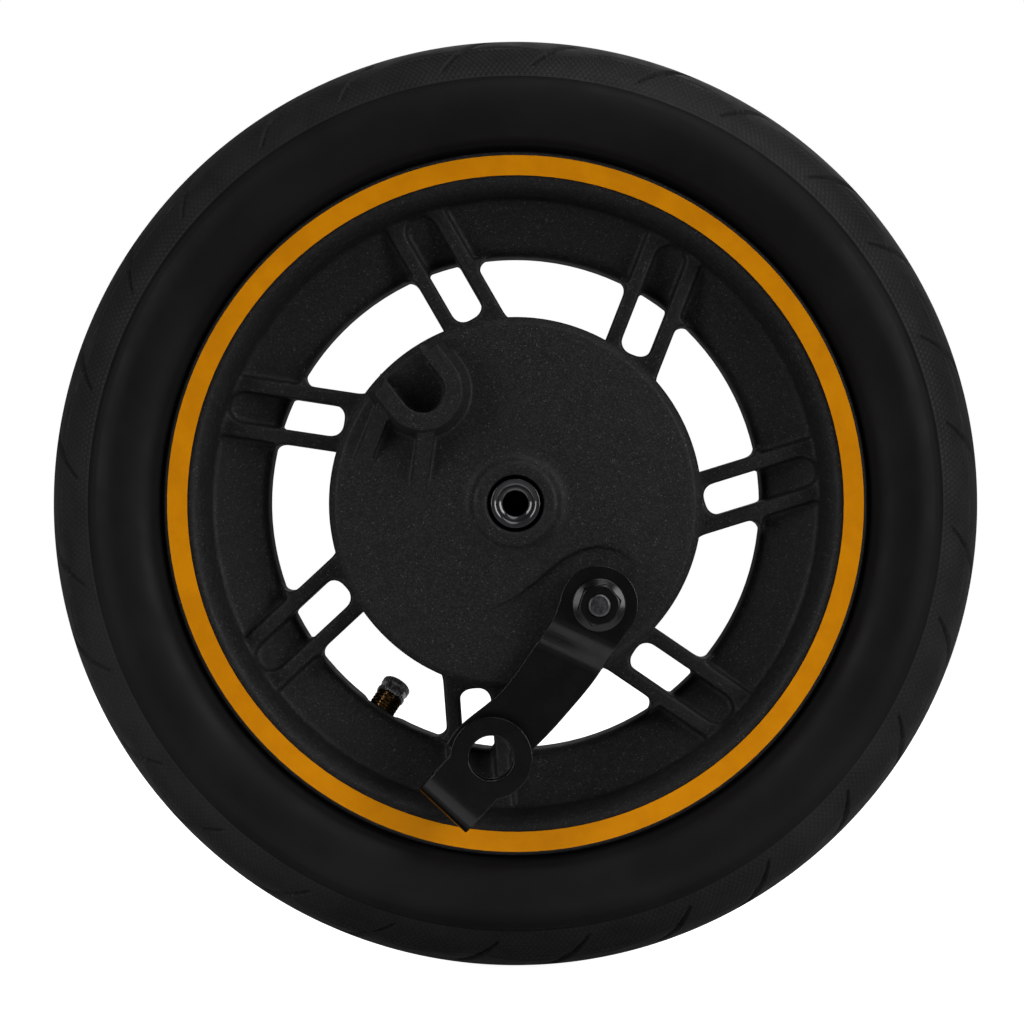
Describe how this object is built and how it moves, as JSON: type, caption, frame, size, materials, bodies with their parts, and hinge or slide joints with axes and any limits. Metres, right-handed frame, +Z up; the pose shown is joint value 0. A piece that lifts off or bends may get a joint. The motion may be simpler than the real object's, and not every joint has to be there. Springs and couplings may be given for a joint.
{
  "type": "scooter wheel with drum brake",
  "caption": "Cast scooter front wheel with a tubeless tyre, twin leaning spokes and a cam-and-lever drum brake, on a fixed axle tapped at both ends.",
  "frame": {"origin": "wheel centre: on the axle's axis, in the tyre's mid-plane; the centroid of all the solids is within 1.8 mm of it, towards the brake side", "axes": "+Y along the axle away from the brake side, +Z up, +X to the right seen from the brake side"},
  "size_m": [0.25, 0.0765, 0.25],
  "materials": {
    "rim_coat": "cast aluminium under a satin charcoal powder coat with a fine sparkle",
    "plate_coat": "cast aluminium under a satin charcoal powder coat",
    "liner_iron": "turned braking face",
    "tyre_rubber": "matt moulded rubber",
    "stripe_orange": "satin orange ring",
    "bearing_steel": "ground",
    "ball_steel": "polished",
    "cage_plastic": "moulded",
    "seal_rubber": "smooth",
    "spacer_aluminium": "turned",
    "spring_steel": "oiled",
    "axle_black": "glossy black",
    "bush_brass": "machined",
    "shoe_aluminium": "as cast",
    "lining_compound": "rough friction compound",
    "cam_steel": "dark zinc",
    "lever_black": "glossy black",
    "valve_brass": "machined",
    "cap_metal": "knurled, satin"
  },
  "bodies": {
    "axle_and_plate": {"front_inner_race": "bearing_steel", "rear_inner_race": "bearing_steel", "bearing_spacer_tube": "spacer_aluminium", "rear_spacer": "axle_black", "axle": "axle_black", "brake_plate": "plate_coat", "cam_bush": "bush_brass", "cam_o_ring": "seal_rubber", "anchor_pin": "bearing_steel", "anchor_clip": "spring_steel", "cam_end_return_spring": "spring_steel", "anchor_end_return_spring": "spring_steel"},
    "wheel": {"rim_casting": "rim_coat", "drum_liner": "liner_iron", "tyre": "tyre_rubber", "front_stripe_ring": "stripe_orange", "rear_stripe_ring": "stripe_orange", "front_outer_race": "bearing_steel", "front_bearing_shields": "seal_rubber", "rear_outer_race": "bearing_steel", "rear_bearing_shields": "seal_rubber", "bearing_circlip": "spring_steel", "rear_hub_seal": "seal_rubber", "valve_rubber_body": "seal_rubber", "valve_stem": "valve_brass", "valve_core": "valve_brass", "valve_cap": "cap_metal"},
    "lever": {"brake_lever": "lever_black", "cam_shaft": "cam_steel", "lever_nut": "lever_black"},
    "upper_shoe": {"upper_brake_shoe": "shoe_aluminium", "upper_brake_lining": "lining_compound"},
    "lower_shoe": {"lower_brake_shoe": "shoe_aluminium", "lower_brake_lining": "lining_compound"},
    "front_cage": {"front_ball_cage": "cage_plastic", "front_balls": "ball_steel"},
    "rear_cage": {"rear_ball_cage": "cage_plastic", "rear_balls": "ball_steel"}
  },
  "joints": [
    {"name": "wheel_spin", "type": "hinge", "parent": "axle_and_plate", "child": "wheel", "pos_m": [0, 0, 0], "axis": [0, 1, 0], "continuous": true},
    {"name": "lever_swing", "type": "hinge", "parent": "axle_and_plate", "child": "lever", "pos_m": [0.0219, -0.028, -0.0266], "axis": [0, 1, 0], "range_deg": [0, 20]},
    {"name": "upper_shoe_swing", "type": "hinge", "parent": "axle_and_plate", "child": "upper_shoe", "pos_m": [-0.02099, -0.012, 0.02546], "axis": [0, -1, 0], "range_deg": [0, 1.2]},
    {"name": "lower_shoe_swing", "type": "hinge", "parent": "axle_and_plate", "child": "lower_shoe", "pos_m": [-0.02099, -0.012, 0.02546], "axis": [0, 1, 0], "range_deg": [0, 1.2]},
    {"name": "front_cage_spin", "type": "hinge", "parent": "axle_and_plate", "child": "front_cage", "pos_m": [0, -0.009, 0], "axis": [0, 1, 0], "continuous": true},
    {"name": "rear_cage_spin", "type": "hinge", "parent": "axle_and_plate", "child": "rear_cage", "pos_m": [0, 0.021, 0], "axis": [0, 1, 0], "continuous": true}
  ],
  "couplings": [
    {"joint": "upper_shoe_swing", "follows": "lever_swing", "ratio": 0.06},
    {"joint": "lower_shoe_swing", "follows": "lever_swing", "ratio": 0.06},
    {"joint": "front_cage_spin", "follows": "wheel_spin", "ratio": 0.619},
    {"joint": "rear_cage_spin", "follows": "wheel_spin", "ratio": 0.619}
  ]
}
